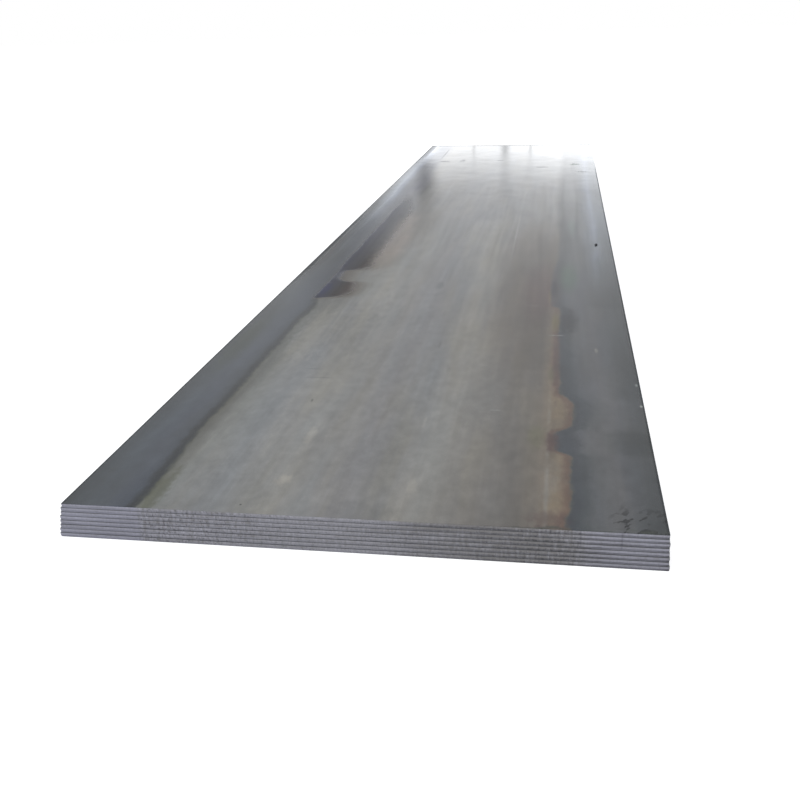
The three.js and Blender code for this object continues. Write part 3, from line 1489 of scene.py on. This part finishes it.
            # The share is 0 at the foot and 1 at the border, where the bite fades out.
            share = (vertex.co.z - self.foot) / (self.torn_top - self.foot)
            bite = max(0.0, noise.noise(vertex.co * self.tear_grain) + self.tear_cover)
            bite *= self.tear_depth * (1 - (1 - share) ** 2) if share < 1 else 0.0
            drop = 0.0
            if abs(share - 1) < self.border_reach:
                place = vertex.co * self.wander_grain + Vector((0, 0, self.wander_shift))
                drop = noise.noise(place) * self.tear_wander
            moves.append((vertex, Vector((0, 0, drop)) - outward.normalized() * bite))
        for vertex, move in moves:
            vertex.co += move

    def wave_face(self, plate: bmesh.types.BMesh) -> None:
        """Lowers the upper face by slow waves, the deeper the nearer the top.

        Args:
            plate: The mesh being shaped.
        """
        across, along = self.wave_grain
        height = self.top - self.foot
        for vertex in plate.verts:
            place = (vertex.co.x * across, vertex.co.y * along, self.foot * self.wave_shift)
            share = (vertex.co.z - self.foot) / height
            vertex.co.z -= self.wave * (0.5 + 0.5 * noise.noise(Vector(place))) * share

    def dress(self, plate: bmesh.types.BMesh) -> None:
        """Gives each face its part of the skin, and keeps the skins' borders crisp.

        Args:
            plate: The shaped mesh.
        """
        plate.normal_update()
        for face in plate.faces:
            face.smooth = True
            height = face.calc_center_median().z
            if abs(face.normal.z) > self.nearly_level or height > self.land_top:
                face.material_index = Skin.ROLLED.value
            elif height < self.torn_top:
                face.material_index = Skin.TORN.value
            else:
                face.material_index = Skin.LAND.value
        for edge in plate.edges:
            edge.smooth = len({face.material_index for face in edge.link_faces}) == 1


@dataclass
class PlateStack:
    """The eight plates, from the floor up.

    Attributes:
        count: Number of plates.
        top_slot: Name of a finish slot handed to the top plate, which doesn't use it.
        slot: Name of a finish slot handed to the others, which don't use it.
    """

    count: int = 8
    top_slot: str = "top_plate_steel"
    slot: str = "plate_steel"

    def build(self) -> None:
        """Builds every plate."""
        edge = {Skin.LAND: ShearedLand().material(), Skin.TORN: TornSteel().material()}
        covered = {Skin.ROLLED: MillScale().material(), **edge}
        low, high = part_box(f"plate_{self.count}")
        scale = WornTopScale(
            middle=(low.x + high.x) / 2, near=low.y, width=high.x - low.x, length=high.y - low.y,
        )
        opened = {Skin.ROLLED: scale.material(), **edge}
        for number in range(1, self.count):
            Plate(node=f"plate_{number}", slot=self.slot, finishes=covered).build()
        Plate(node=f"plate_{self.count}", slot=self.top_slot, finishes=opened).build()


@dataclass
class Viewpoint:
    """The camera, placed from the near end of the top plate.

    Attributes:
        right: Distance to the right of the plate's middle.
        back: Distance in front of its near end.
        above: Height over its upper face.
        turn: Degrees that it is turned to the left of straight along the plates.
        tilt: Degrees that it looks down.
        roll: Degrees that its right side dips.
        focal: Focal length as a share of the picture's width.
        sensor: Width of the sensor in millimetres.
        sight: Distance that it sees to.
    """

    right: float = 0.3846
    back: float = 1.6412
    above: float = 0.9017
    turn: float = 9.64
    tilt: float = 21.28
    roll: float = 1.67
    focal: float = 1.2076
    sensor: float = 36.0
    sight: float = 200.0

    def build(self, top_plate: str) -> None:
        """Makes the camera and looks through it.

        Args:
            top_plate: Name of the top plate's solid.
        """
        low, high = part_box(top_plate)
        data = bpy.data.cameras.new("camera")
        data.sensor_width = self.sensor
        data.lens = self.focal * self.sensor
        data.clip_end = self.sight
        camera = bpy.data.objects.new("camera", data)
        middle = (low.x + high.x) / 2
        place = Vector((middle + self.right, low.y - self.back, high.z + self.above))
        camera.matrix_world = (
            Matrix.Translation(place)
            @ Matrix.Rotation(math.radians(self.turn), 4, "Z")
            @ Matrix.Rotation(math.radians(90 - self.tilt), 4, "X")
            @ Matrix.Rotation(math.radians(-self.roll), 4, "Z")
        )
        bpy.context.scene.collection.objects.link(camera)
        bpy.context.scene.camera = camera


@dataclass(frozen=True)
class Pane:
    """One upright or pane of the window wall.

    Attributes:
        slope: Its direction, as the slope across to along.
        half_width: Half of its width as such a slope.
        gain: Its strength over that of the wall, as a share of it.
        top: Sine of the elevation that it reaches.
        fade: How softly it ends there.
    """

    slope: float
    half_width: float
    gain: float
    top: float
    fade: float


@dataclass
class Studio:
    """A pale floor, soft light from above and white surroundings with a bright window wall.

    Attributes:
        floor_size: Side of the floor.
        floor_tone: How pale the floor is.
        floor_drop: How far it lies under the stack, so that no faces coincide.
        floor_glow: What is added to the floor as the camera sees it, and as steel mirrors it.
        sun_strength: Strength of the wide soft lamp.
        sun_spread: Degrees that the lamp takes up in the sky.
        sun_lean: Degrees that the lamp stands off the vertical, towards the near end.
        ambient: Strength of the light from all round.
        sky: Strength of the surroundings beyond the far end as steel mirrors them, as (sine
            of the elevation, strength).
        sky_reach: Highest sine of elevation in that list.
        sky_peak: Highest strength that it may hold.
        around: The same strength to the sides and behind.
        ahead: Cosines of the angle off the plates' length over which the first sets in.
        tint: Colour of the surroundings as steel mirrors them.
        panes: Uprights and panes of the window wall.
    """

    floor_size: float = 160.0
    floor_tone: Colour = (0.93, 0.93, 0.93)
    floor_drop: float = 0.0001
    floor_glow: Point = (0.34, 0.14)
    sun_strength: float = 1.8
    sun_spread: float = 60.0
    sun_lean: float = 25.0
    ambient: float = 0.5
    sky: tuple[Point, ...] = (
        (0.0, 1.9), (0.115, 1.85), (0.12, 1.7), (0.1235, 1.62), (0.1255, 1.57), (0.128, 1.43),
        (0.134, 1.23), (0.1424, 1.09), (0.1519, 0.87), (0.1627, 0.68), (0.1755, 0.6),
        (0.19, 0.555), (0.2066, 0.55), (0.2214, 0.555), (0.2384, 0.59), (0.2655, 0.61),
        (0.29, 0.63), (0.32, 0.69), (0.38, 0.75), (0.41, 0.8), (0.44, 0.85), (0.5, 0.88),
    )
    sky_reach: float = 0.5
    sky_peak: float = 2.0
    around: float = 0.9
    ahead: Span = (0.5, 0.9)
    tint: Colour = (0.985, 1.0, 1.026)
    panes: tuple[Pane, ...] = (
        Pane(-0.0554, 0.009, -0.14, 0.2, 0.07), Pane(-0.0554, 0.0065, -0.42, 0.128, 0.006),
        Pane(-0.0299, 0.006, -0.06, 0.17, 0.04), Pane(-0.0299, 0.0025, -0.36, 0.126, 0.006),
        Pane(-0.0866, 0.005, -0.05, 0.165, 0.04), Pane(-0.0866, 0.0022, -0.34, 0.125, 0.005),
        Pane(-0.137, 0.019, -0.58, 0.192, 0.024), Pane(-0.139, 0.021, 1.1, 0.133, 0.009),
        Pane(-0.145, 0.014, -0.4, 0.1375, 0.005), Pane(-0.141, 0.012, 0.16, 0.15, 0.01),
        Pane(-0.155, 0.008, -0.1, 0.15, 0.01), Pane(-0.178, 0.02, 0.25, 0.17, 0.02),
        Pane(-0.2, 0.055, -0.25, 0.236, 0.022), Pane(-0.235, 0.06, -0.3, 0.33, 0.05),
        Pane(0.012, 0.07, 0.22, 0.168, 0.025), Pane(0.045, 0.03, 0.22, 0.24, 0.06),
    )

    def build(self) -> None:
        """Makes floor, lamp and surroundings."""
        self.add_floor()
        self.add_lamp()
        self.add_world()
        bpy.context.scene.view_settings.view_transform = "Standard"

    def add_floor(self) -> None:
        """Lays a plain floor just under the stack."""
        plan = bmesh.new()
        drop = Matrix.Translation((0.0, 0.0, -self.floor_drop))
        half = self.floor_size / 2
        bmesh.ops.create_grid(plan, x_segments=1, y_segments=1, size=half, matrix=drop)
        mesh = bpy.data.meshes.new("floor")
        plan.to_mesh(mesh)
        plan.free()
        finish = bpy.data.materials.new("floor_paint")
        finish.use_nodes = True
        graph = NodeGraph(finish.node_tree)
        paint = graph.node("BsdfDiffuse", {"Color": (*self.floor_tone, 1)})
        ray = graph.node("LightPath").outputs
        seen, mirrored = self.floor_glow
        strength = graph.add(0.0, (ray["Is Camera Ray"], seen), (ray["Is Glossy Ray"], mirrored))
        glow = graph.node("Emission", {"Strength": strength})
        both = graph.node("AddShader", {0: paint.outputs[0], 1: glow.outputs[0]})
        graph.node("OutputMaterial", {"Surface": both.outputs[0]})
        mesh.materials.append(finish)
        floor = bpy.data.objects.new("floor", mesh)
        bpy.context.scene.collection.objects.link(floor)

    def add_lamp(self) -> None:
        """Lights everything evenly from one wide patch of sky."""
        data = bpy.data.lights.new("soft_sky_lamp", "SUN")
        data.energy = self.sun_strength
        data.angle = math.radians(self.sun_spread)
        lamp = bpy.data.objects.new("soft_sky_lamp", data)
        lamp.matrix_world = Matrix.Rotation(math.radians(self.sun_lean), 4, "X")
        lamp.visible_glossy = False
        bpy.context.scene.collection.objects.link(lamp)

    def add_world(self) -> None:
        """White to the camera, with a window wall low over the far end for the steel to mirror."""
        world = bpy.data.worlds.new("surroundings")
        world.use_nodes = True
        world.cycles.sampling_method = "NONE"
        bpy.context.scene.world = world
        graph = NodeGraph(world.node_tree)
        ray = graph.node("LightPath").outputs
        axes = graph.node("SeparateXYZ", {0: graph.node("TexCoord").outputs["Generated"]}).outputs
        height = graph.math("MULTIPLY", axes[2], 1 / self.sky_reach, clamp=True)
        heights = [(sine / self.sky_reach, strength / self.sky_peak) for sine, strength in self.sky]
        wall = graph.product(graph.curve(height, heights), self.sky_peak)
        slope = graph.math("DIVIDE", axes[0], axes[1])
        for pane in self.panes:
            below = graph.smooth(axes[2], pane.top, pane.top - pane.fade)
            shape = graph.product(graph.band(slope, pane.slope, pane.half_width), below, pane.gain)
            wall = graph.add(wall, (wall, shape))
        ahead = graph.smooth(axes[1], *self.ahead)
        mirrored = graph.add(self.around, (graph.math("SUBTRACT", wall, self.around), ahead))
        glossy = graph.math("SUBTRACT", mirrored, self.ambient)
        glossy = graph.add(self.ambient, (glossy, ray["Is Glossy Ray"]))
        strength = graph.math("MAXIMUM", glossy, ray["Is Camera Ray"])
        colour = graph.mix(ray["Is Camera Ray"], self.tint, WHITE)
        sky = graph.node("Background", {"Color": colour, "Strength": strength})
        graph.node("OutputWorld", {"Surface": sky.outputs[0]})


def main() -> None:
    """Builds the stack, its surroundings and the camera."""
    logging.basicConfig(level=logging.INFO, format="%(name)s: %(message)s")
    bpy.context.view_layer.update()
    stack = PlateStack()
    Viewpoint().build(f"plate_{stack.count}")
    stack.build()
    Studio().build()


if __name__ == "__main__":
    main()
